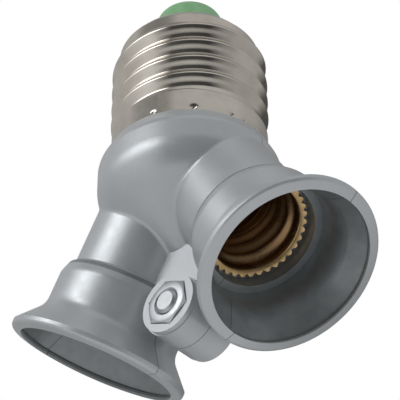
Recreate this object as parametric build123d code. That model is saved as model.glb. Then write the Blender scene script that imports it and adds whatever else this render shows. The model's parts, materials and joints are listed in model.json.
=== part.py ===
from build123d import *
import math
import os

# Lamp socket adapter: one large screw base above, two small screw sockets in trumpet cups below.
# Millimetres. The origin is the centre of the base skirt's lower edge, with +Z along the base to its tip.
# The branches lie in the XZ plane, and the housing parts along that plane into a front (-Y) and a rear half.

# Branches, with distances measured along a branch's own axis from where the two axes meet
branch_half_angle = 30.9
branch_meeting_height = 2.3
rim_distance = 38.4
rim_radius = 14.8
rim_edge_height = 1.35
rim_rounding = 0.6
lip_width = 1.8
lip_slope_height = 0.35
lip_edge_height = 0.8
lip_undercut = 0.35
flare_height = 4.1
flare_bend = 3.5
cup_outer_radius = 11.15
cup_outer_height = 6.0
step_height = 2.5
step_rounding = 0.6
ledge_radius = 10.5
ledge_height = 0.6
shoulder_bend = 2.0
neck_radius = 9.65
cup_depth = 13.0
cup_inner_radius = 10.2
cup_seat_radius = 8.9
cup_step_height = 2.8
bowl_height = 5.3
bowl_bend = 6.0

# Body of the housing, turned about the base's axis
collar_radius = 13.7
body_radius = 15.0
shoulder_height = 2.6
shoulder_rounding = 2.0
belly_height = 9.4
belly_rounding = 7.0
body_depth = 19.5
body_bottom_radius = 2.8
body_bottom_rounding = 2.0
body_wall = 2.0
neck_wall = 2.0
junction_rounding = 0.9

# Web between the cups, with its clamp boss
clamp_depth = 30.6
lobe_radius = 5.2
lobe_half_thickness = 4.4
web_half_thickness = 3.0
web_half_width = 11.0
web_top_depth = 10.0
web_low_depth = 30.2
boss_radius = 5.0
boss_height = 0.9

# Large screw base
skirt_radius = 12.95
skirt_height = 5.4
skirt_wall = 0.4
thread_root_radius = 12.0
thread_crest_radius = 13.15
thread_pitch = 3.629
thread_rounding = 1.03
thread_low = 6.6
thread_start_angle = 128.0
thread_turns = 3.9
base_wall = 0.7
base_shoulder_height = 22.8
base_shoulder_rounding = 1.6
base_height = 26.6
base_end_wall = 0.5
base_flat_radius = 8.5
base_end_radius = 6.6

# Insulator and contact at the base's tip
insulator_tip_radius = 5.5
insulator_height = 6.8
insulator_rounding = 2.6
insulator_flange_radius = 7.3
insulator_flange_depth = 2.0
base_button_radius = 2.7
base_button_height = 0.8
base_button_rounding = 0.6
base_stem_radius = 1.5
base_stem_depth = 1.2

# Small screw shells
shell_length = 11.1
shell_outer_radius = 7.85
shell_bore_radius = 7.1
shell_mouth_radius = 7.45
shell_mouth_length = 2.2
shell_end_radius = 5.6
shell_end_wall = 0.4
shell_thread_pitch = 2.822
shell_thread_rounding = 0.7
shell_thread_reach = 0.83
shell_thread_margin = 1.0
flange_radius = 8.7
flange_wall = 0.45
flange_tooth_depth = 0.6
flange_teeth = 36

# Sprung centre contacts
well_radius = 4.6
well_depth = 3.4
floor_wall = 1.4
pin_radius = 1.5
pin_tail = 0.7
pin_head_radius = 2.6
pin_head_height = 1.7
pin_head_rounding = 0.9
spring_space = 2.4
spring_radius = 2.05
spring_wire_radius = 0.16
spring_turns = 3.0
clip_radius = 2.4
clip_wall = 0.65
clip_groove_depth = 0.4
terminal_radius = 4.2
terminal_bore_radius = 1.8
terminal_wall = 0.4
tab_offset = 3.65
tab_width = 2.0
tab_length = 2.1

# Clamp screw and nut
screw_radius = 1.95
screw_head_radius = 3.6
screw_head_height = 2.4
screw_head_rounding = 1.0
screw_end_reach = 0.3
screw_end_rounding = 0.4
nut_across_flats = 7.0
nut_height = 3.2
nut_reach = 0.4
nut_turn = 23.0
drive_width = 0.9
drive_length = 4.4
drive_depth = 1.2

# Wires inside
wire_radius = 0.6
live_spacing = 0.75
live_bend = 4.0
neutral_spacing = 0.9
neutral_top = 12.0
neutral_bend_top = 9.5
neutral_bend_low = 5.5
neutral_low_radius = 9.3
neutral_turn_distance = 2.0
neutral_bend = 1.5

# Clearances
fit_clearance = 0.1
slide_clearance = 0.05
seat_clearance = 0.05
pocket_clearance = 0.2
hole_clearance = 0.15

# How far a cutting solid runs past the face that it opens
cut_margin = 1.0

# Sizes and places that follow from these
lip_radius = rim_radius - lip_width
seat_distance = rim_distance - cup_depth
shell_end_distance = seat_distance - shell_length
floor_top = shell_end_distance - well_depth
floor_back = floor_top - floor_wall
terminal_top = floor_top + terminal_wall
head_distance = terminal_top + spring_space
clip_top = floor_back - seat_clearance
clip_low = clip_top - clip_wall
boss_face = lobe_half_thickness + boss_height
skirt_bore_radius = skirt_radius - skirt_wall
neck_outer_radius = skirt_bore_radius - fit_clearance
neck_bore_radius = neck_outer_radius - neck_wall
neck_height = skirt_height - base_wall - fit_clearance
thread_bore_radius = thread_root_radius - base_wall
base_end_low = base_height - base_end_wall
button_seat = base_height + insulator_height
stem_end = base_end_low - insulator_flange_depth - base_stem_depth
neutral_offset = (shell_end_radius + shell_outer_radius) / 2
screw_head_face = boss_face - screw_head_height
nut_seat = -boss_face - nut_reach + nut_height
slope = math.radians(branch_half_angle)
neck_top = branch_meeting_height + neck_radius * math.sin(slope) + body_wall / 2
neck_start = neck_top / math.cos(slope)

os.makedirs("parts", exist_ok=True)


def branch_plane(side):
    """Frame of a branch: z runs out along its axis, x in the XZ plane away from the other branch."""
    outwards = (side * math.sin(slope), 0, -math.cos(slope))
    across = (side * math.cos(slope), 0, math.sin(slope))
    return Plane(origin=(0, 0, branch_meeting_height), x_dir=across, z_dir=outwards)


def branch_point(side, across, height_y, distance):
    """A point given by its place across and along a branch, and by its Y."""
    x = distance * math.sin(slope) + across * math.cos(slope)
    z = branch_meeting_height + across * math.sin(slope) - distance * math.cos(slope)
    return (side * x, height_y, z)


def turned(*corners):
    """A solid turned about Z from corners given as radius, height and rounding."""
    points = [(radius, 0, height) for radius, height, rounding in corners]
    roundings = [rounding for radius, height, rounding in corners]
    edge = FilletPolyline(*points, radius=roundings, close=True)
    return revolve(make_face(edge), Axis.Z)


def bar(radius, low, high):
    """A round bar about Z between two heights."""
    return Pos(0, 0, low) * Cylinder(radius, high - low, align=(Align.CENTER, Align.CENTER, Align.MIN))


def large_block(align):
    """A block larger than the whole housing, used to part or trim it."""
    side_length = 4 * rim_distance
    return Box(side_length, side_length, side_length, align=align)


def clamp_bar(shape, low, high):
    """A flat shape drawn out along +Y at the clamp, from one Y to another."""
    plane = Plane(origin=(0, low, -clamp_depth), x_dir=(1, 0, 0), z_dir=(0, 1, 0))
    return plane * extrude(shape, high - low)


def coil(radius, pitch, height, wire, low):
    """A round wire wound about Z upwards from a height."""
    path = Helix(pitch, height, radius)
    section = Plane(path @ 0, z_dir=path % 0) * Circle(wire)
    return Pos(0, 0, low) * sweep(section, path=path, is_frenet=True)


def wire(points, bend):
    """A round wire along straight runs joined by bends."""
    path = FilletPolyline(*points, radius=bend)
    section = Plane(path @ 0, z_dir=path % 0) * Circle(wire_radius)
    return sweep(section, path=path)


# Housing

def branch_outside():
    """Outside of one branch in its own frame: neck, step, cup and flared rim."""
    flare_top = rim_distance - rim_edge_height
    flare_low = flare_top - flare_height
    cup_low = flare_low - cup_outer_height
    step_low = cup_low - step_height
    return turned(
        (0, neck_start, 0),
        (neck_radius, neck_start, 0),
        (neck_radius, step_low, 0),
        (ledge_radius, step_low + ledge_height, step_rounding),
        (cup_outer_radius, cup_low, shoulder_bend),
        (cup_outer_radius, flare_low, flare_bend),
        (rim_radius, flare_top, 0),
        (rim_radius, rim_distance - lip_slope_height, rim_rounding),
        (lip_radius, rim_distance, 0),
        (0, rim_distance, 0),
    )


def branch_inside():
    """Hollows of one branch in its own frame: cup, shell pocket, and the contact's well, guide and slot."""
    over = rim_distance + cut_margin
    step_top = seat_distance + cup_step_height
    cup = turned(
        (0, seat_distance, 0),
        (cup_seat_radius, seat_distance, 0),
        (cup_seat_radius, step_top, 0),
        (cup_inner_radius, step_top, 0),
        (cup_inner_radius, rim_distance - bowl_height, bowl_bend),
        (lip_radius + lip_undercut, rim_distance - lip_edge_height, 0),
        (lip_radius, rim_distance - lip_edge_height, 0),
        (lip_radius, over, 0),
        (0, over, 0),
    )
    slot = Pos(tab_offset, 0, (floor_top + floor_back) / 2) * Box(
        terminal_wall + 2 * hole_clearance, tab_width + 2 * hole_clearance, 2 * floor_wall
    )
    pocket = bar(shell_outer_radius + pocket_clearance, shell_end_distance, seat_distance + cut_margin)
    well = bar(well_radius, floor_top, shell_end_distance + cut_margin)
    guide = bar(pin_radius + slide_clearance, floor_back - cut_margin, floor_top + cut_margin)
    return cup + pocket + well + guide + slot


def body_outside():
    """Body of the housing with the neck that carries the base."""
    body = turned(
        (0, 0, 0),
        (collar_radius, 0, 0),
        (body_radius, -shoulder_height, shoulder_rounding),
        (body_radius, -belly_height, belly_rounding),
        (body_bottom_radius, -body_depth, body_bottom_rounding),
        (0, -body_depth, 0),
    )
    return body + bar(neck_outer_radius, -body_wall, neck_height)


def web():
    """Web between the cups: a wedge that ends in a round lobe, with a boss on both faces for the clamp."""
    wedge = Polygon(
        (0, web_top_depth - clamp_depth),
        (web_half_width, web_low_depth - clamp_depth),
        (-web_half_width, web_low_depth - clamp_depth),
        align=None,
    )
    plate = clamp_bar(wedge, -web_half_thickness, web_half_thickness)
    plate += clamp_bar(Circle(lobe_radius), -lobe_half_thickness, lobe_half_thickness)
    return plate + clamp_bar(Circle(boss_radius), -boss_face, boss_face)


def wire_chamber():
    """Hollow of the body and neck, closed below by the backs of the two contact floors."""
    hollow = bar(body_radius - body_wall, -body_depth, -body_wall)
    hollow += bar(neck_bore_radius, -body_wall - cut_margin, neck_height + cut_margin)
    beyond = large_block((Align.CENTER, Align.CENTER, Align.MIN))
    for side in (1, -1):
        hollow -= branch_plane(side) * Pos(0, 0, floor_back) * beyond
    return hollow


def nut_outline(clearance):
    """Hexagon of the nut, made larger all round by a clearance."""
    return RegularPolygon(nut_across_flats / 2 + clearance, 6, major_radius=False, rotation=nut_turn)


def clamp_holes():
    """Screw hole, nut pocket in front and head pocket behind."""
    hole = clamp_bar(Circle(screw_radius + hole_clearance), -2 * boss_face, 2 * boss_face)
    hole += clamp_bar(nut_outline(fit_clearance), -2 * boss_face, nut_seat)
    return hole + clamp_bar(Circle(screw_head_radius + pocket_clearance), screw_head_face, 2 * boss_face)


def neutral_hole(side):
    """Hole for a neutral wire from the chamber into the shell's pocket."""
    hole = bar(wire_radius + hole_clearance, floor_back - cut_margin, shell_end_distance + cut_margin)
    return Pos(0, neutral_offset, 0) * (branch_plane(side) * hole)


def outside_form():
    """Body and branches joined, with their junctions rounded."""
    form = body_outside()
    for side in (1, -1):
        form += branch_plane(side) * branch_outside()
    return fillet(form.edges().filter_by(GeomType.BSPLINE), junction_rounding)


def housing():
    """The whole housing before it is parted."""
    hollow = wire_chamber() + clamp_holes()
    for side in (1, -1):
        hollow += branch_plane(side) * branch_inside()
        hollow += neutral_hole(side)
    return outside_form() + web() - hollow


def housing_halves():
    """Front and rear halves, parted at Y = 0."""
    whole = housing()
    half = large_block((Align.CENTER, Align.MAX, Align.CENTER))
    return whole & half, whole - half


# Large screw base

def base_shell():
    """Threaded sheet-metal shell with its plain skirt, rounded shoulder and end opening."""
    thread_foot = skirt_height + base_wall
    outside = turned(
        (0, 0, 0),
        (skirt_radius, 0, 0),
        (skirt_radius, skirt_height, skirt_wall),
        (thread_root_radius, thread_foot, skirt_wall),
        (thread_root_radius, base_shoulder_height, base_shoulder_rounding),
        (base_flat_radius, base_height, base_shoulder_rounding / 2),
        (0, base_height, 0),
    )
    inside = turned(
        (0, 0, 0),
        (skirt_bore_radius, 0, 0),
        (skirt_bore_radius, skirt_height - base_wall, 0),
        (thread_bore_radius, skirt_height, 0),
        (thread_bore_radius, base_shoulder_height - base_end_wall, base_shoulder_rounding / 2),
        (base_flat_radius - base_end_wall, base_end_low, base_shoulder_rounding / 2),
        (0, base_end_low, 0),
    )
    ridge_radius = thread_crest_radius - thread_rounding
    ridge = coil(ridge_radius, thread_pitch, thread_turns * thread_pitch, thread_rounding, thread_low)
    shell = outside + ridge - inside - bar(base_end_radius, 0, 2 * base_height)
    return Rot(0, 0, thread_start_angle) * shell


def base_insulator():
    """Cone at the tip with a flange inside the shell."""
    body = turned(
        (0, base_end_low - insulator_flange_depth, 0),
        (insulator_flange_radius, base_end_low - insulator_flange_depth, 0),
        (insulator_flange_radius, base_end_low, 0),
        (base_end_radius - seat_clearance, base_end_low, 0),
        (base_end_radius - seat_clearance, base_height, 0),
        (insulator_tip_radius, button_seat, insulator_rounding),
        (0, button_seat, 0),
    )
    return body - bar(base_stem_radius + slide_clearance, 0, 2 * base_height)


def base_contact():
    """Button on the tip, with a stem down through the insulator."""
    button = turned(
        (0, button_seat, 0),
        (base_button_radius, button_seat, 0),
        (base_button_radius, button_seat + base_button_height, base_button_rounding),
        (0, button_seat + base_button_height, 0),
    )
    return button + bar(base_stem_radius, stem_end, button_seat)


# Small sockets, each in its branch's own frame

def toothed_flange():
    """Flat flange with teeth round its edge."""
    points = []
    for step in range(2 * flange_teeth):
        angle = math.pi * step / flange_teeth
        radius = flange_radius - flange_tooth_depth * (step % 2)
        points.append((radius * math.cos(angle), radius * math.sin(angle)))
    return Pos(0, 0, seat_distance) * extrude(Polygon(*points, align=None), flange_wall)


def screw_shell():
    """Threaded shell with a plain mouth, a toothed flange and a turned-in end."""
    mouth_low = seat_distance + flange_wall - shell_mouth_length
    thread_start = shell_end_distance + shell_end_wall + shell_thread_margin
    thread_height = mouth_low - shell_thread_margin - thread_start
    shell = bar(shell_outer_radius, shell_end_distance, seat_distance) + toothed_flange()
    shell -= bar(shell_bore_radius, shell_end_distance + shell_end_wall, mouth_low)
    shell -= bar(shell_mouth_radius, mouth_low, rim_distance)
    shell -= bar(shell_end_radius, 0, rim_distance)
    ridge_radius = shell_bore_radius - shell_thread_reach + shell_thread_rounding
    return shell + coil(ridge_radius, shell_thread_pitch, thread_height, shell_thread_rounding, thread_start)


def contact_pin():
    """Sprung pin with a domed head, and a groove for its clip."""
    pin = turned(
        (0, head_distance, 0),
        (pin_head_radius, head_distance, 0),
        (pin_head_radius, head_distance + pin_head_height, pin_head_rounding),
        (0, head_distance + pin_head_height, 0),
    )
    pin += bar(pin_radius, clip_low - pin_tail, head_distance)
    groove = bar(clip_radius, clip_low, clip_top) - bar(pin_radius - clip_groove_depth, clip_low, clip_top)
    return pin - groove


def contact_spring():
    """Coil between the terminal and the head of the pin."""
    low = terminal_top + spring_wire_radius
    height = spring_space - 2 * spring_wire_radius - seat_clearance
    return coil(spring_radius, height / spring_turns, height, spring_wire_radius, low)


def pin_clip():
    """Ring in the pin's groove, behind the floor."""
    return bar(clip_radius, clip_low, clip_top) - bar(pin_radius - clip_groove_depth, clip_low, clip_top)


def terminal():
    """Plate under the spring, with a tab through the floor to the wire."""
    plate = bar(terminal_radius, floor_top, terminal_top)
    plate -= bar(terminal_bore_radius, floor_top, terminal_top)
    tab = Pos(tab_offset, 0, terminal_top) * Box(
        terminal_wall, tab_width, terminal_top - floor_back + tab_length,
        align=(Align.CENTER, Align.CENTER, Align.MAX),
    )
    return plate + tab


# Clamp

def clamp_screw():
    """Screw from behind, with a slotted head and an end that shows in the nut."""
    screw = clamp_bar(Circle(screw_radius), -boss_face - nut_reach - screw_end_reach, screw_head_face)
    end = screw.faces().sort_by(Axis.Y)[0]
    screw = chamfer(end.edges(), screw_end_rounding)
    head = clamp_bar(Circle(screw_head_radius), screw_head_face, boss_face)
    head = fillet(head.faces().sort_by(Axis.Y)[-1].edges(), screw_head_rounding)
    slot = clamp_bar(Rectangle(drive_length, drive_width), boss_face - drive_depth, boss_face + cut_margin)
    return screw + head - slot


def clamp_nut():
    """Hexagon nut in the front boss."""
    flat = nut_outline(0) - Circle(screw_radius + slide_clearance)
    return clamp_bar(flat, nut_seat - nut_height, nut_seat)


# Wires

def live_wire(side):
    """From the base contact's stem straight down, then along the branch to the terminal's tab."""
    tab_end = floor_back - tab_length
    turn = (live_spacing - tab_offset * math.cos(slope)) / math.sin(slope)
    points = [
        (side * live_spacing, 0, stem_end),
        branch_point(side, tab_offset, 0, turn),
        branch_point(side, tab_offset, 0, tab_end),
    ]
    return wire(points, live_bend)


def neutral_wire(side):
    """From the base shell's wall down inside the neck, then along the branch to the screw shell's end."""
    wall_place = thread_bore_radius - wire_radius - seat_clearance
    points = [
        (side * neutral_spacing, wall_place, neutral_top),
        (side * neutral_spacing, wall_place, neutral_bend_top),
        (side * neutral_spacing, neutral_low_radius, neutral_bend_low),
        branch_point(side, 0, neutral_offset, neutral_turn_distance),
        branch_point(side, 0, neutral_offset, shell_end_distance),
    ]
    return wire(points, neutral_bend)


# All pieces, each in its own node

front_half, rear_half = housing_halves()
nodes = {
    "front_housing": front_half,
    "rear_housing": rear_half,
    "base_shell": base_shell(),
    "base_insulator": base_insulator(),
    "base_contact": base_contact(),
    "clamp_screw": clamp_screw(),
    "clamp_nut": clamp_nut(),
}
socket_pieces = {
    "screw_shell": screw_shell(),
    "contact_pin": contact_pin(),
    "contact_spring": contact_spring(),
    "pin_clip": pin_clip(),
    "terminal": terminal(),
}
for side_name, side in (("right", 1), ("left", -1)):
    for piece_name, piece in socket_pieces.items():
        nodes[f"{side_name}_{piece_name}"] = branch_plane(side) * piece
    nodes[f"{side_name}_live_wire"] = live_wire(side)
    nodes[f"{side_name}_neutral_wire"] = neutral_wire(side)

for name, solid in nodes.items():
    export_step(solid, f"parts/{name}.step")
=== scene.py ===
"""Looks of a lamp socket adapter: a large screw base on top, two small screw sockets in cups below."""

import json
import math

import bmesh
import bpy
from mathutils import Matrix, Vector


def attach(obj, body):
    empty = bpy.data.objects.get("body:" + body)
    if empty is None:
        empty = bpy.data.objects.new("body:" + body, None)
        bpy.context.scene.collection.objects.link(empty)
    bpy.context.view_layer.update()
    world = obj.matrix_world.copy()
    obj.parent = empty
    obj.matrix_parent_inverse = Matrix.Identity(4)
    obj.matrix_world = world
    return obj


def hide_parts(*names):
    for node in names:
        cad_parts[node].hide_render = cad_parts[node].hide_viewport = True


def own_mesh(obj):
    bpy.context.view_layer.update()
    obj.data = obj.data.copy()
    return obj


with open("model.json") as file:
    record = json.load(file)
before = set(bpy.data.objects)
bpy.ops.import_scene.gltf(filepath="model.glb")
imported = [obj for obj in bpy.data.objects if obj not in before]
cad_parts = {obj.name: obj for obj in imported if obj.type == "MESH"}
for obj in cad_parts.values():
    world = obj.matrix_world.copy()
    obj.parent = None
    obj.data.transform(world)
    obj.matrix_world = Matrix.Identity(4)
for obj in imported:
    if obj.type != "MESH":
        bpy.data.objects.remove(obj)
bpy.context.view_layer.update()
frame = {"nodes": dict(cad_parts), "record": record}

MM = 0.001

# Driving sizes, the same as the solids have: lengths in millimetres and angles in degrees
branch_half_angle = 30.9
branch_meeting_height = 2.3
rim_distance = 38.4
seat_distance = 25.4
lip_radius = 13.0
lip_edge_height = 0.8
cup_inner_radius = 10.2
bowl_height = 5.3
skirt_radius = 12.95
skirt_height = 5.4
thread_root_radius = 12.0
thread_crest_radius = 13.15
thread_pitch = 3.629
thread_low = 6.6
thread_start_angle = 128.0
thread_turns = 3.9
base_shoulder_height = 22.8
base_flat_radius = 8.5
base_height = 26.6
base_end_radius = 6.6
shell_length = 11.1
shell_outer_radius = 7.85
shell_bore_radius = 7.1
shell_thread_reach = 0.83
shell_mouth_radius = 7.45
shell_mouth_length = 2.2
shell_end_radius = 5.6
shell_thread_pitch = 2.822
flange_radius = 8.7
flange_wall = 0.45
flange_teeth = 36
flange_tooth_depth = 0.6
terminal_top = 11.3
spring_space = 2.4
spring_radius = 2.05
spring_wire_radius = 0.16
spring_turns = 3.0
clamp_depth = 30.6
nut_face = 5.7
nut_height = 3.2
nut_sides = 6
nut_across_flats = 7.0
nut_turn = 23.0
nut_bore_radius = 2.0

# Finer shapes that only the looks have: lengths in millimetres
sheet_wall = 0.4
foot_blend = 0.5
thread_fade_turns = 0.2
shoulder_crown_share = 0.35
shell_wall = 0.35
shell_blend = 1.2
flange_edge = 0.12
tooth_height = 0.2
spring_gap = 0.05
nut_chamfer_radius = 3.3
nut_chamfer_slope = 0.55
nut_bore_chamfer = 0.35
parting_width = 0.16
mask_margin = 0.5
shell_darkening_depth = 0.5

# Staking marks on the skirt: lengths in millimetres and angles in degrees from +X
stake_level = 1.1
stake_radius = 0.24
stake_depth = 0.3
front_stake_angles = (-76.5, -18.7, -8.1, 6.4)
rear_stake_start = 60.0
rear_stake_step = 45.0
rear_stakes = 5
large_stake_angle = -46.8

# Size of the large staking mark against the others
large_stake_size = 1.5

# Edges that bend by more than this, in degrees, stay crisp on a smooth mesh
sharp_angle = 40.0

# Noise values at which a mottled surface has reached its low and its high end
noise_low = 0.3
noise_high = 0.7

# Share of its colour that the paint keeps on the parting line
seam_shade = 0.4

# Camera: its place and nearest sight in metres, its sensor and lens in millimetres
camera_place = Vector((0.145823, -0.172248, -0.189806))
camera_nearest = 0.01
camera_sensor = 36.0
camera_lens = 162.0

# Direction from the object to the camera and the camera's roll, in degrees
camera_azimuth = -50.158
camera_elevation = -38.9395
camera_roll = -0.3633

# Studio, in metres
floor_height = -0.8
floor_half_width = 4.0
tent_radius = 0.75
light_target = Vector((0, 0, -0.008))
light_distance = 0.6

# Strength of the even light from all round
world_light = 0.55

# Lamps: direction in degrees, size in metres and power in watts
key_lamp = {"azimuth": -115, "elevation": 29, "width": 0.36, "height": 0.32, "power": 1.1}
fill_lamp = {"azimuth": 5, "elevation": -35, "width": 0.8, "height": 0.8, "power": 0.7}

# Greys of the tent that reflections see: of its side and roof by azimuth in degrees, and of its ground
side_greys = (
    (-180, 0.45), (-150, 0.5), (-125, 0.6), (-112, 0.72), (-98, 0.68), (-84, 0.3), (-72, 0.08), (-20, 0.05),
    (0, 0.3), (20, 0.42), (60, 0.42), (76, 0.1), (100, 0.08), (130, 0.3), (180, 0.45))
roof_greys = (
    (-180, 0.45), (-150, 0.5), (-128, 0.28), (-100, 0.22), (-84, 0.3), (-70, 0.5), (-50, 0.53), (-5, 0.52),
    (18, 0.5), (60, 0.38), (100, 0.25), (180, 0.45))
ground_grey = 0.62

# Share of the roof and of the ground in the tent, by elevation in degrees
roof_shares = ((26, 0.0), (42, 1.0))
ground_shares = ((-48, 1.0), (-32, 0.0))

# Bright window in the tent: its light, and its share of that by azimuth and by elevation in degrees
window_light = 3.0
window_azimuths = ((-150, 0.0), (-132, 0.3), (-114, 1.0), (-92, 1.0), (-78, 0.0))
window_elevations = ((10, 0.0), (20, 1.0), (30, 1.0), (38, 0.0))

# Values that follow from these; each staking mark is its angle and its size
branch_slope = math.radians(branch_half_angle)
shell_low = seat_distance - shell_length
stakes = [(angle, 1.0) for angle in front_stake_angles]
stakes += [(rear_stake_start + rear_stake_step * number, 1.0) for number in range(rear_stakes)]
stakes.append((large_stake_angle, large_stake_size))


# Helpers for shapes

def branch_matrix(side):
    """From a branch's own frame, in millimetres and with Z out of its mouth, to the whole frame in metres."""
    along = Vector((side * math.sin(branch_slope), 0, -math.cos(branch_slope)))
    across = Vector((0, 1, 0)).cross(along)
    turn = Matrix((across, (0, 1, 0), along)).transposed().to_4x4()
    return Matrix.Translation((0, 0, branch_meeting_height * MM)) @ turn @ Matrix.Scale(MM, 4)


def smooth_step(low, high, value):
    """From 0 at low to 1 at high, with level ends."""
    share = min(max((value - low) / (high - low), 0.0), 1.0)
    return share * share * (3 - 2 * share)


def wave(turns):
    """A smooth wave that is 1 at whole numbers of turns and 0 half-way between them."""
    return 0.5 + 0.5 * math.cos(math.tau * turns)


def even_angles(columns):
    """Angles all round, in degrees, one for each column."""
    return [360.0 * column / columns for column in range(columns)]


def round_point(radius, angle, height):
    """A point from its radius, its angle in degrees and its height."""
    turn = math.radians(angle)
    return (radius * math.cos(turn), radius * math.sin(turn), height)


def ring(radius, height, angles):
    """The points of a level circle at these angles."""
    return [round_point(radius, angle, height) for angle in angles]


def ring_faces(points, columns):
    """Quads of a surface of points in rows, whose rows and columns both close on themselves."""
    rows = len(points) // columns
    faces = []
    for row in range(rows):
        upper = (row + 1) % rows
        for column in range(columns):
            beside = (column + 1) % columns
            faces.append((row * columns + column, row * columns + beside,
                          upper * columns + beside, upper * columns + column))
    return faces


def mesh_piece(name, points, faces, material, matrix):
    """A smooth mesh object with crisp edges, from points in millimetres."""
    mesh = bpy.data.meshes.new(name)
    mesh.from_pydata(points, [], faces)
    mesh.transform(matrix)
    mesh.polygons.foreach_set("use_smooth", [True] * len(mesh.polygons))
    mesh.set_sharp_from_angle(angle=math.radians(sharp_angle))
    mesh.materials.append(material)
    piece = bpy.data.objects.new(name, mesh)
    bpy.context.scene.collection.objects.link(piece)
    return piece


# Helpers for materials

def grey(value):
    """The opaque colour of a grey value."""
    return (value, value, value, 1.0)


def feed(tree, socket, value):
    """Links an input socket to another socket, or sets it to a number or a colour."""
    if isinstance(value, bpy.types.NodeSocket):
        tree.links.new(value, socket)
    else:
        socket.default_value = value


def set_inputs(tree, node, inputs):
    """Feeds the inputs of a node, given by their names."""
    for name, value in inputs.items():
        feed(tree, node.inputs[name], value)


def add_node(tree, kind, inputs=None, **settings):
    """A new node with its settings and its inputs."""
    node = tree.nodes.new(kind)
    for name, value in settings.items():
        setattr(node, name, value)
    set_inputs(tree, node, inputs or {})
    return node


def new_material(name, constants=None):
    """A material with one shader whose inputs have these values; gives the material, its tree and shader."""
    material = bpy.data.materials.new(name)
    material.use_nodes = True
    tree = material.node_tree
    shader = tree.nodes["Principled BSDF"]
    set_inputs(tree, shader, constants or {})
    return material, tree, shader


def places(tree):
    """The socket of places in the whole frame, in metres."""
    return tree.nodes.new("ShaderNodeTexCoord").outputs["Object"]


def noise(tree, waves, detail):
    """The socket of a noise with this many waves per metre."""
    node = add_node(tree, "ShaderNodeTexNoise", {"Vector": places(tree), "Scale": waves, "Detail": detail})
    return node.outputs["Fac"]


def ramp(tree, factor, *stops):
    """The colour socket of a ramp through stops of place and grey value or colour."""
    node = add_node(tree, "ShaderNodeValToRGB", {"Fac": factor})
    elements = node.color_ramp.elements
    while len(elements) < len(stops):
        elements.new(position=0.5)
    for element, (place, value) in zip(elements, stops):
        element.position = place
        element.color = grey(value) if isinstance(value, float) else (*value, 1.0)
    return node.outputs["Color"]


def mottled(tree, low, high, waves, detail=2.0, full=noise_high):
    """The colour socket of a noise that goes from low to high, two grey values or colours."""
    return ramp(tree, noise(tree, waves, detail), (noise_low, low), (full, high))


def relief(tree, waves, depth, strength, detail=2.0):
    """The normal socket of a noise that is this deep, in millimetres."""
    inputs = {"Height": noise(tree, waves, detail), "Strength": strength, "Distance": depth * MM}
    return add_node(tree, "ShaderNodeBump", inputs).outputs["Normal"]


def mixed(tree, factor, first, second, kind="MIX"):
    """The colour socket of two colours mixed by a factor."""
    node = add_node(tree, "ShaderNodeMix", data_type="RGBA", blend_type=kind)
    sockets = {socket.identifier: socket for socket in (*node.inputs, *node.outputs)}
    feed(tree, sockets["Factor_Float"], factor)
    feed(tree, sockets["A_Color"], first)
    feed(tree, sockets["B_Color"], second)
    return sockets["Result_Color"]


def calculated(tree, operation, first, second=0.0):
    """The value socket of a sum on two sockets or numbers."""
    node = add_node(tree, "ShaderNodeMath", operation=operation)
    for socket, value in zip(node.inputs, (first, second)):
        feed(tree, socket, value)
    return node.outputs["Value"]


def product(tree, first, second):
    """The value socket of two sockets or numbers multiplied."""
    return calculated(tree, "MULTIPLY", first, second)


def share_between(tree, low, high, value):
    """The value socket that goes from 0 where value is low to 1 where it is high."""
    node = add_node(tree, "ShaderNodeMapRange", {"Value": value, "From Min": low, "From Max": high})
    return node.outputs["Result"]


def coordinates(tree):
    """The outputs X, Y and Z of places in the whole frame, in metres."""
    return add_node(tree, "ShaderNodeSeparateXYZ", {"Vector": places(tree)}).outputs


def branch_place(tree):
    """The sockets of distance along the nearer branch and of radius about it, in metres."""
    place = coordinates(tree)
    sideways = calculated(tree, "ABSOLUTE", place["X"])
    height = calculated(tree, "SUBTRACT", place["Z"], branch_meeting_height * MM)
    sine, cosine = math.sin(branch_slope), math.cos(branch_slope)
    distance = calculated(tree, "SUBTRACT", product(tree, sideways, sine), product(tree, height, cosine))
    across = calculated(tree, "ADD", product(tree, sideways, cosine), product(tree, height, sine))
    arm = add_node(tree, "ShaderNodeCombineXYZ", {"X": across, "Y": place["Y"]})
    length = add_node(tree, "ShaderNodeVectorMath", {"Vector": arm.outputs["Vector"]}, operation="LENGTH")
    return distance, length.outputs["Value"]


def cup_inside(tree):
    """The socket of a mask: 1 on the inside of both cups, 0 elsewhere."""
    distance, radius = branch_place(tree)
    bowl_low = (rim_distance - bowl_height) * MM
    bowl_high = (rim_distance - lip_edge_height) * MM
    bowl = share_between(tree, bowl_low, bowl_high, distance)
    widening = product(tree, bowl, (lip_radius - cup_inner_radius) * MM)
    limit = calculated(tree, "ADD", widening, (cup_inner_radius + mask_margin) * MM)
    inside = calculated(tree, "LESS_THAN", radius, limit)
    above_seat = calculated(tree, "GREATER_THAN", distance, (seat_distance - mask_margin) * MM)
    below_face = calculated(tree, "LESS_THAN", distance, (rim_distance - lip_edge_height / 2) * MM)
    return product(tree, product(tree, inside, above_seat), below_face)


def parting_line(tree):
    """The socket of a mask: 1 where the two housing halves meet, 0 elsewhere."""
    away = calculated(tree, "ABSOLUTE", coordinates(tree)["Y"])
    return calculated(tree, "LESS_THAN", away, parting_width / 2 * MM)


# Materials

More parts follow.
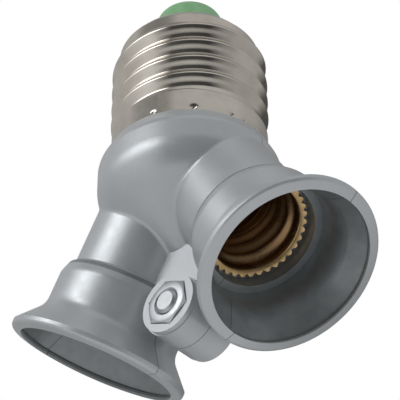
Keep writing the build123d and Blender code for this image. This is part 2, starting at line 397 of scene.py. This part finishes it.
def silver_paint():
    """Satin silver paint with fine flakes, darker inside the cups as painted shade of their hollows over a
    thinner coat, and darker along the parting line.
    """
    constants = {"Metallic": 0.5, "Coat Weight": 0.15, "Coat Roughness": 0.3}
    material, tree, shader = new_material("silver_paint", constants)
    flakes = mottled(tree, (0.49, 0.515, 0.535), (0.56, 0.585, 0.605), waves=9000.0, detail=3.0)
    clouds = mottled(tree, 0.93, 1.0, waves=120.0)
    outside = mixed(tree, 1.0, flakes, clouds, "MULTIPLY")
    # Inside the cups: partly thinner paint, partly painted shade of the hollows
    cup_shade_and_thin_paint = mottled(tree, (0.22, 0.24, 0.25), (0.28, 0.30, 0.31), waves=400.0, detail=4.0)
    halves = mixed(tree, cup_inside(tree), outside, cup_shade_and_thin_paint)
    seam = mixed(tree, 1.0, halves, grey(seam_shade), "MULTIPLY")
    set_inputs(tree, shader, {
        "Base Color": mixed(tree, parting_line(tree), halves, seam),
        "Roughness": mottled(tree, 0.3, 0.37, waves=700.0),
        "Normal": relief(tree, waves=3500.0, depth=0.05, strength=0.25, detail=3.0),
    })
    return material


def nickel_plating():
    """Bright nickel on rolled sheet metal, with a little tarnish and fine rolling marks."""
    material, tree, shader = new_material("nickel_plating", {"Metallic": 1.0})
    tint = mottled(tree, (0.62, 0.57, 0.50), (0.76, 0.72, 0.65), waves=180.0, detail=5.0, full=0.65)
    set_inputs(tree, shader, {
        "Base Color": tint,
        "Roughness": mottled(tree, 0.07, 0.13, waves=900.0, detail=4.0),
        "Normal": relief(tree, waves=2500.0, depth=0.04, strength=0.12),
    })
    return material


def green_plastic():
    """Green moulded insulator with faint mottling."""
    constants = {"Subsurface Weight": 0.1, "Subsurface Scale": 0.001}
    material, tree, shader = new_material("green_plastic", constants)
    set_inputs(tree, shader, {
        "Base Color": mottled(tree, (0.19, 0.43, 0.20), (0.26, 0.52, 0.27), waves=500.0, detail=4.0),
        "Roughness": mottled(tree, 0.3, 0.42, waves=900.0),
    })
    return material


def brass_colour(tree):
    """The colour socket of brass that is bright at the flange and darker brown down in the shell."""
    flange_colour = mottled(tree, (0.64, 0.43, 0.20), (0.80, 0.56, 0.29), waves=450.0, detail=5.0)
    tint = mottled(tree, (0.27, 0.16, 0.08), (0.42, 0.27, 0.14), waves=300.0, detail=4.0)
    distance = branch_place(tree)[0]
    # Darker brown from just below the flange face down into the shell
    share = share_between(tree, (seat_distance - shell_darkening_depth) * MM, seat_distance * MM, distance)
    return mixed(tree, share, tint, flange_colour)


def zinc_colour(tree):
    """The colour socket of pale zinc."""
    return mottled(tree, (0.54, 0.56, 0.58), (0.66, 0.68, 0.70), waves=450.0, detail=5.0)


def metal(name, colour, smooth, rough):
    """A bare metal between two roughnesses, with a function that gives the socket of its colour."""
    material, tree, shader = new_material(name, {"Metallic": 1.0})
    set_inputs(tree, shader, {
        "Base Color": colour(tree),
        "Roughness": mottled(tree, smooth, rough, waves=1200.0, detail=3.0),
        "Normal": relief(tree, waves=4000.0, depth=0.03, strength=0.15),
    })
    return material


def wire_cover(name, dark, light):
    """Smooth plastic on a wire, faintly mottled."""
    material, tree, shader = new_material(name)
    set_inputs(tree, shader, {
        "Base Color": mottled(tree, dark, light, waves=600.0, detail=3.0),
        "Roughness": mottled(tree, 0.35, 0.5, waves=1500.0),
    })
    return material


materials = {
    "housing": silver_paint(),
    "plated_base": nickel_plating(),
    "green_insulator": green_plastic(),
    "brass": metal("brass", brass_colour, smooth=0.26, rough=0.36),
    "steel": metal("zinc_steel", zinc_colour, smooth=0.36, rough=0.46),
    "live_lead": wire_cover("brown_wire_cover", (0.12, 0.05, 0.025), (0.20, 0.09, 0.045)),
    "neutral_lead": wire_cover("blue_wire_cover", (0.03, 0.10, 0.30), (0.05, 0.16, 0.42)),
}
for part in frame["record"]["subparts"]:
    frame["nodes"][part["node"]].material_slots[0].material = materials[part["material_slot"]]


# Large screw base

def base_radius(angle, height):
    """Outside radius of the rolled base at an angle, in degrees, and a height."""
    turn = ((angle - thread_start_angle) % 360.0) / 360.0
    crest = (height - thread_low) / thread_pitch - turn
    along = round(crest) + turn
    run_in = smooth_step(0.0, thread_fade_turns, along)
    run_out = 1 - smooth_step(thread_turns - thread_fade_turns, thread_turns, along)
    ridge = (thread_crest_radius - thread_root_radius) * wave(crest) * run_in * run_out
    threaded = thread_root_radius + ridge
    share = smooth_step(skirt_height - foot_blend, skirt_height + foot_blend, height)
    return skirt_radius + (threaded - skirt_radius) * share


def stake_dent(angle, height):
    """How deep the staking punch has pressed the skirt in at this place."""
    depth = 0.0
    for middle, size in stakes:
        aside = math.radians((angle - middle + 180.0) % 360.0 - 180.0) * skirt_radius
        away = math.hypot(aside, height - stake_level) / (stake_radius * size)
        depth += stake_depth * size * math.exp(-away * away)
    return depth


def shoulder_profile():
    """Radius and height of the crowned shoulder, from the thread's end to the end opening."""
    steps = 12
    profile = []
    for step in range(1, steps + 1):
        share = step / steps
        radius = thread_root_radius + (base_flat_radius - thread_root_radius) * share
        rise = share + shoulder_crown_share * (math.sin(share * math.pi / 2) - share)
        profile.append((radius, base_shoulder_height + (base_height - base_shoulder_height) * rise))
    return profile + [(base_end_radius, base_height)]


def base_shell_piece():
    """The base as one rolled sheet: thread, skirt, shoulder and an inside at the wall's depth."""
    columns, wall_rows, inner_step = 360, 130, 3
    angles = even_angles(columns)
    wall = [base_shoulder_height * row / wall_rows for row in range(wall_rows + 1)]
    shoulder = shoulder_profile()
    points = []
    for height in wall:
        for angle in angles:
            radius = base_radius(angle, height) - stake_dent(angle, height)
            points.append(round_point(radius, angle, height))
    for radius, height in shoulder:
        points += ring(radius, height, angles)
    for radius, height in reversed(shoulder):
        points += ring(max(radius - sheet_wall, base_end_radius), height - sheet_wall, angles)
    for height in reversed(wall[::inner_step]):
        points += [round_point(base_radius(angle, height) - sheet_wall, angle, height) for angle in angles]
    faces = ring_faces(points, columns)
    return mesh_piece("rolled_base", points, faces, materials["plated_base"], Matrix.Scale(MM, 4))


rolled_base = base_shell_piece()
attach(rolled_base, "adapter")
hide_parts("base_shell")


# Small screw shells

def shell_inside(angle, distance):
    """Inside radius of a small screw shell at an angle, in degrees, and a distance along the branch."""
    mouth_low = seat_distance + flange_wall - shell_mouth_length
    mouth = smooth_step(mouth_low - shell_blend / 2, mouth_low + shell_blend / 2, distance)
    end = smooth_step(shell_low + shell_wall, shell_low + shell_wall + shell_blend, distance)
    ridge = shell_thread_reach * wave(distance / shell_thread_pitch - angle / 360.0) * end
    threaded = shell_bore_radius - ridge
    return threaded + (shell_mouth_radius - threaded) * mouth


def flange_points(angles):
    """Points of the toothed flange, from the mouth's edge round the teeth to the outside of the shell."""
    top = seat_distance + flange_wall
    root = flange_radius - flange_tooth_depth
    rows = (
        (shell_mouth_radius + flange_edge, top, 0.0),
        (root, top, 0.0),
        (flange_radius - flange_edge, top, tooth_height),
        (flange_radius, top - flange_edge, tooth_height),
        (flange_radius, seat_distance, 0.0),
        (shell_outer_radius, seat_distance, 0.0),
    )
    points = []
    for radius, distance, lift in rows:
        for angle in angles:
            tooth = wave(flange_teeth * angle / 360.0)
            reach = min(radius, root + flange_tooth_depth * tooth)
            points.append(round_point(reach, angle, distance + lift * tooth))
    return points


def screw_shell_piece(side, name):
    """Rolled brass shell with its thread inside and out, and a toothed flange."""
    columns_per_tooth, inner_rows, outer_rows = 6, 60, 30
    columns = columns_per_tooth * flange_teeth
    angles = even_angles(columns)
    inner_low = shell_low + shell_wall
    inner_length = seat_distance + flange_wall - flange_edge - inner_low
    points = ring(shell_end_radius + shell_wall, shell_low, angles)
    points += ring(shell_end_radius, shell_low, angles)
    points += ring(shell_end_radius, inner_low, angles)
    for row in range(inner_rows + 1):
        distance = inner_low + inner_length * row / inner_rows
        points += [round_point(shell_inside(angle, distance), angle, distance) for angle in angles]
    points += flange_points(angles)
    for row in range(outer_rows + 1):
        distance = seat_distance - shell_wall - (shell_length - 2 * shell_wall) * row / outer_rows
        for angle in angles:
            outside = min(shell_inside(angle, distance) + shell_wall, shell_outer_radius)
            points.append(round_point(outside, angle, distance))
    faces = ring_faces(points, columns)
    return mesh_piece(name, points, faces, materials["brass"], branch_matrix(side))


# Clamp nut

def nut_edge(angle):
    """Distance from the nut's axis to its side at an angle in degrees."""
    side_angle = 360.0 / nut_sides
    from_middle = (angle + nut_turn) % side_angle - side_angle / 2
    return nut_across_flats / 2 / math.cos(math.radians(from_middle))


def nut_piece():
    """Hexagon nut with its corners turned off and its bore chamfered, facing -Y."""
    columns, chamfer_rows = 180, 6
    angles = even_angles(columns)
    points = [round_point(nut_edge(angle), angle, 0.0) for angle in angles]
    for row in range(chamfer_rows + 1):
        share = 1 - row / chamfer_rows
        for angle in angles:
            radius = nut_chamfer_radius + (nut_edge(angle) - nut_chamfer_radius) * share
            drop = (radius - nut_chamfer_radius) * nut_chamfer_slope
            points.append(round_point(radius, angle, nut_height - drop))
    points += ring(nut_bore_radius + nut_bore_chamfer, nut_height, angles)
    points += ring(nut_bore_radius, nut_height - nut_bore_chamfer, angles)
    points += ring(nut_bore_radius, 0.0, angles)
    faces = ring_faces(points, columns)
    turn = Matrix(((1, 0, 0), (0, 0, -1), (0, 1, 0))).to_4x4()
    place = Matrix.Translation(Vector((0, nut_height - nut_face, -clamp_depth)) * MM)
    return mesh_piece("chamfered_nut", points, faces, materials["steel"], place @ turn @ Matrix.Scale(MM, 4))


nut = nut_piece()
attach(nut, "adapter")
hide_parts("clamp_nut")


# Contact springs

def spring_piece(side, name):
    """Coil of round wire between a socket's terminal plate and the head of its pin."""
    steps, corners = 150, 10
    low = terminal_top + spring_wire_radius
    height = spring_space - 2 * spring_wire_radius - spring_gap
    points = []
    for step in range(steps + 1):
        share = step / steps
        turn = math.tau * spring_turns * share
        for corner in range(corners):
            around = math.tau * corner / corners
            radius = spring_radius + spring_wire_radius * math.cos(around)
            points.append((radius * math.cos(turn), radius * math.sin(turn),
                           low + height * share + spring_wire_radius * math.sin(around)))
    faces = []
    for step in range(steps):
        for corner in range(corners):
            beside = (corner + 1) % corners
            faces.append((step * corners + corner, (step + 1) * corners + corner,
                          (step + 1) * corners + beside, step * corners + beside))
    faces.append(tuple(range(corners)))
    faces.append(tuple(reversed(range(steps * corners, (steps + 1) * corners))))
    return mesh_piece(name, points, faces, materials["steel"], branch_matrix(side))


for side_name, side in (("right", 1), ("left", -1)):
    shell = screw_shell_piece(side, side_name + "_rolled_shell")
    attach(shell, "adapter")
    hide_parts(side_name + "_screw_shell")
    spring = spring_piece(side, side_name + "_wound_spring")
    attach(spring, "adapter")
    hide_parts(side_name + "_contact_spring")
    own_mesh(spring)


# Floor, light and camera

def direction(azimuth, elevation):
    """A unit vector from its azimuth from +X and its elevation, in degrees."""
    turn, rise = math.radians(azimuth), math.radians(elevation)
    return Vector((math.cos(rise) * math.cos(turn), math.cos(rise) * math.sin(turn), math.sin(rise)))


def facing(place, sight):
    """A matrix at a place whose -Z looks along a vector, with its Y upwards."""
    return Matrix.Translation(place) @ sight.to_track_quat("-Z", "Y").to_matrix().to_4x4()


def backdrop_light(tree, lit, seen):
    """The shader socket that is seen for the camera and for reflections, and lit for all other light."""
    path = tree.nodes.new("ShaderNodeLightPath")
    mirrored = calculated(tree, "MAXIMUM", path.outputs["Is Glossy Ray"], path.outputs["Is Transmission Ray"])
    direct = calculated(tree, "MAXIMUM", path.outputs["Is Camera Ray"], mirrored)
    mix = tree.nodes.new("ShaderNodeMixShader")
    for socket, source in zip(mix.inputs, (direct, lit, seen)):
        tree.links.new(source, socket)
    return mix.outputs["Shader"]


def white_world():
    """Even white light from all round, and a white background."""
    world = bpy.data.worlds.new("studio")
    bpy.context.scene.world = world
    world.use_nodes = True
    tree = world.node_tree
    lit = add_node(tree, "ShaderNodeBackground", {"Color": grey(1.0), "Strength": world_light})
    seen = add_node(tree, "ShaderNodeBackground", {"Color": grey(1.0), "Strength": 1.0})
    shader = backdrop_light(tree, lit.outputs["Background"], seen.outputs["Background"])
    tree.links.new(shader, tree.nodes["World Output"].inputs["Surface"])


def studio_floor():
    """A wide pale floor under the object."""
    mesh = bpy.data.meshes.new("floor")
    low, high = -floor_half_width, floor_half_width
    corners = [(x, y, floor_height) for x, y in ((low, low), (high, low), (high, high), (low, high))]
    mesh.from_pydata(corners, [], [tuple(range(len(corners)))])
    material, tree, shader = new_material("pale_floor", {"Roughness": 0.9})
    set_inputs(tree, shader, {"Base Color": mottled(tree, 0.86, 0.9, waves=3.0)})
    mesh.materials.append(material)
    floor = bpy.data.objects.new("floor", mesh)
    bpy.context.scene.collection.objects.link(floor)


def turn_share(azimuth):
    """Share of the way round the tent, from the -X side, at an azimuth in degrees."""
    return (azimuth + 180) / 360


def level_share(elevation):
    """Share of the tent's height, from its lowest point, at an elevation in degrees."""
    return 0.5 + 0.5 * math.sin(math.radians(elevation))


def stops_at(share, values):
    """Stops of a ramp from pairs of angle and value, with a function that gives the share of an angle."""
    return [(share(angle), value) for angle, value in values]


def tent_glow(tree):
    """The colour socket of the tent: its sides, roof and ground, and light through its window."""
    place = coordinates(tree)
    around = share_between(tree, -math.pi, math.pi, calculated(tree, "ARCTAN2", place["Y"], place["X"]))
    level = share_between(tree, -tent_radius, tent_radius, place["Z"])
    sides = ramp(tree, around, *stops_at(turn_share, side_greys))
    overhead = ramp(tree, around, *stops_at(turn_share, roof_greys))
    roof = ramp(tree, level, *stops_at(level_share, roof_shares))
    ground = ramp(tree, level, *stops_at(level_share, ground_shares))
    cloth = mixed(tree, ground, mixed(tree, roof, sides, overhead), grey(ground_grey))
    sideways = ramp(tree, around, *stops_at(turn_share, window_azimuths))
    upwards = ramp(tree, level, *stops_at(level_share, window_elevations))
    return mixed(tree, product(tree, sideways, upwards), cloth, grey(window_light), "ADD")


def studio_tent():
    """A grey tent round the object that only reflections see, with a bright window and dark openings."""
    mesh = bpy.data.meshes.new("tent")
    shape = bmesh.new()
    bmesh.ops.create_uvsphere(shape, u_segments=64, v_segments=32, radius=tent_radius)
    shape.to_mesh(mesh)
    shape.free()
    material, tree, shader = new_material("tent_cloth")
    tree.nodes.remove(shader)
    glow = add_node(tree, "ShaderNodeEmission", {"Color": tent_glow(tree), "Strength": 1.0})
    tree.links.new(glow.outputs["Emission"], tree.nodes["Material Output"].inputs["Surface"])
    mesh.materials.append(material)
    tent = bpy.data.objects.new("tent", mesh)
    bpy.context.scene.collection.objects.link(tent)
    for ray in ("camera", "diffuse", "shadow", "transmission", "volume_scatter"):
        setattr(tent, "visible_" + ray, False)


def soft_light(name, azimuth, elevation, width, height, power):
    """A soft light that shines on the object from a direction, and that reflections don't see."""
    light = bpy.data.lights.new(name, "AREA")
    light.shape = "RECTANGLE"
    light.size = width
    light.size_y = height
    light.energy = power
    lamp = bpy.data.objects.new(name, light)
    lamp.visible_glossy = False
    outwards = direction(azimuth, elevation)
    lamp.matrix_world = facing(light_target + outwards * light_distance, -outwards)
    bpy.context.scene.collection.objects.link(lamp)


def photo_camera():
    """The camera at the photograph's place, direction, roll and focal length."""
    camera = bpy.data.cameras.new("camera")
    camera.sensor_width = camera_sensor
    camera.lens = camera_lens
    camera.clip_start = camera_nearest
    viewer = bpy.data.objects.new("camera", camera)
    roll = Matrix.Rotation(math.radians(camera_roll), 4, "Z")
    viewer.matrix_world = facing(camera_place, -direction(camera_azimuth, camera_elevation)) @ roll
    bpy.context.scene.collection.objects.link(viewer)
    bpy.context.scene.camera = viewer


white_world()
studio_floor()
studio_tent()
soft_light("key_light", **key_lamp)
soft_light("fill_light", **fill_lamp)
photo_camera()
bpy.context.scene.view_settings.view_transform = "Standard"
